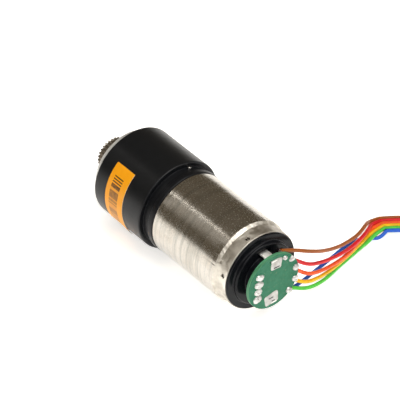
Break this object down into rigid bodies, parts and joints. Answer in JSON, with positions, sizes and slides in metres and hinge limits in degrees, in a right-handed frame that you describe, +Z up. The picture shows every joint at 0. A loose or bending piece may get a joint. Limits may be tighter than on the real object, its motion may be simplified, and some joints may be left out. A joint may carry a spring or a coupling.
{
  "type": "geared dc motor",
  "caption": "Cylindrical planetary geared DC motor with an output pinion, a steel motor can, a rear encoder board and a rainbow ribbon lead ending in a small socket.",
  "frame": {"origin": "centre of the front mounting face, on the axis of the output shaft", "axes": "+X out of the output end along the shaft, +Z up; the motor lies on a surface at z = -12 mm"},
  "size_m": [0.1152, 0.076, 0.024],
  "materials": {
    "housing_black": "satin black",
    "label_paper": "coated paper",
    "plate_steel": "turned",
    "gear_steel": "hobbed",
    "bearing_steel": "ground",
    "cage_brass": "pressed",
    "shaft_steel": "ground",
    "bush_bronze": "sintered",
    "washer_plastic": "moulded",
    "adapter_black": "satin black",
    "can_nickel": "drawn, nickel plated",
    "magnet_grey": "sintered",
    "coil_copper": "enamelled wire",
    "hub_plastic": "moulded",
    "cap_black": "moulded, glossy",
    "terminal_tin": "tinned",
    "brush_metal": "spring metal",
    "board_green": "solder resist",
    "solder": "bright solder",
    "chip_black": "moulded",
    "insulation_brown": "soft insulation",
    "insulation_red": "soft insulation",
    "insulation_orange": "soft insulation",
    "insulation_yellow": "soft insulation",
    "insulation_green": "soft insulation",
    "insulation_blue": "soft insulation",
    "ribbon_insulation": "six-colour ribbon insulation",
    "socket_plastic": "moulded",
    "contact_gold": "gold plated"
  },
  "bodies": {
    "base": {"gearbox_housing": "housing_black", "label": "label_paper", "front_plate": "plate_steel", "ring_gear": "gear_steel", "bearing_outer_race": "bearing_steel", "output_bush": "bush_bronze", "planet_washer": "washer_plastic", "adapter_flange": "adapter_black", "flange_dowel": "shaft_steel", "adapter_screws": "shaft_steel", "motor_can": "can_nickel", "motor_front_plate": "plate_steel", "motor_front_bush": "bush_bronze", "stator_magnet": "magnet_grey", "motor_rear_bush": "bush_bronze", "rear_cap": "cap_black", "motor_terminals": "terminal_tin", "brushes": "brush_metal", "encoder_board": "board_green", "solder_joints": "solder", "hall_sensors": "chip_black", "wire_brown": "insulation_brown", "wire_red": "insulation_red", "wire_orange": "insulation_orange", "wire_yellow": "insulation_yellow", "wire_green": "insulation_green", "wire_blue": "insulation_blue", "ribbon_cable": "ribbon_insulation", "socket_body": "socket_plastic", "socket_clamp": "socket_plastic", "socket_contacts": "contact_gold"},
    "output": {"output_shaft": "shaft_steel", "output_pinion": "gear_steel", "shaft_circlip": "shaft_steel", "bearing_inner_race": "bearing_steel", "output_carrier": "shaft_steel", "output_carrier_pins": "shaft_steel", "output_washer": "washer_plastic"},
    "bearing_cage": {"bearing_balls": "bearing_steel", "bearing_cage": "cage_brass"},
    "first_stage": {"first_carrier": "shaft_steel", "first_carrier_pins": "shaft_steel", "second_sun": "gear_steel", "stage_washer": "washer_plastic"},
    "rotor": {"motor_shaft": "shaft_steel", "motor_pinion": "gear_steel", "coil": "coil_copper", "coil_hub": "hub_plastic", "commutator_core": "hub_plastic", "commutator_bars": "cage_brass", "encoder_magnet": "magnet_grey"},
    "output_planet_1": {"output_planet_1": "gear_steel"},
    "first_planet_1": {"first_planet_1": "gear_steel"},
    "output_planet_2": {"output_planet_2": "gear_steel"},
    "first_planet_2": {"first_planet_2": "gear_steel"},
    "output_planet_3": {"output_planet_3": "gear_steel"},
    "first_planet_3": {"first_planet_3": "gear_steel"}
  },
  "joints": [
    {"name": "output_spin", "type": "hinge", "parent": "base", "child": "output", "pos_m": [0, 0, 0], "axis": [1, 0, 0], "continuous": true},
    {"name": "cage_spin", "type": "hinge", "parent": "base", "child": "bearing_cage", "pos_m": [-0.00135, 0, 0], "axis": [1, 0, 0], "continuous": true},
    {"name": "first_stage_spin", "type": "hinge", "parent": "base", "child": "first_stage", "pos_m": [-0.0142, 0, 0], "axis": [1, 0, 0], "continuous": true},
    {"name": "rotor_spin", "type": "hinge", "parent": "base", "child": "rotor", "pos_m": [-0.034, 0, 0], "axis": [1, 0, 0], "continuous": true},
    {"name": "output_planet_1_spin", "type": "hinge", "parent": "output", "child": "output_planet_1", "pos_m": [-0.01125, 0, 0.0066], "axis": [1, 0, 0], "continuous": true},
    {"name": "output_planet_2_spin", "type": "hinge", "parent": "output", "child": "output_planet_2", "pos_m": [-0.01125, -0.00572, -0.0033], "axis": [1, 0, 0], "continuous": true},
    {"name": "output_planet_3_spin", "type": "hinge", "parent": "output", "child": "output_planet_3", "pos_m": [-0.01125, 0.00572, -0.0033], "axis": [1, 0, 0], "continuous": true},
    {"name": "first_planet_1_spin", "type": "hinge", "parent": "first_stage", "child": "first_planet_1", "pos_m": [-0.01665, 0, 0.0066], "axis": [1, 0, 0], "continuous": true},
    {"name": "first_planet_2_spin", "type": "hinge", "parent": "first_stage", "child": "first_planet_2", "pos_m": [-0.01665, -0.00572, -0.0033], "axis": [1, 0, 0], "continuous": true},
    {"name": "first_planet_3_spin", "type": "hinge", "parent": "first_stage", "child": "first_planet_3", "pos_m": [-0.01665, 0.00572, -0.0033], "axis": [1, 0, 0], "continuous": true}
  ],
  "couplings": [
    {"joint": "output_spin", "follows": "rotor_spin", "ratio": 0.051653},
    {"joint": "cage_spin", "follows": "rotor_spin", "ratio": 0.021058},
    {"joint": "first_stage_spin", "follows": "rotor_spin", "ratio": 0.22727},
    {"joint": "output_planet_1_spin", "follows": "rotor_spin", "ratio": -0.14635},
    {"joint": "output_planet_2_spin", "follows": "rotor_spin", "ratio": -0.14635},
    {"joint": "output_planet_3_spin", "follows": "rotor_spin", "ratio": -0.14635},
    {"joint": "first_planet_1_spin", "follows": "rotor_spin", "ratio": -0.64394},
    {"joint": "first_planet_2_spin", "follows": "rotor_spin", "ratio": -0.64394},
    {"joint": "first_planet_3_spin", "follows": "rotor_spin", "ratio": -0.64394}
  ]
}
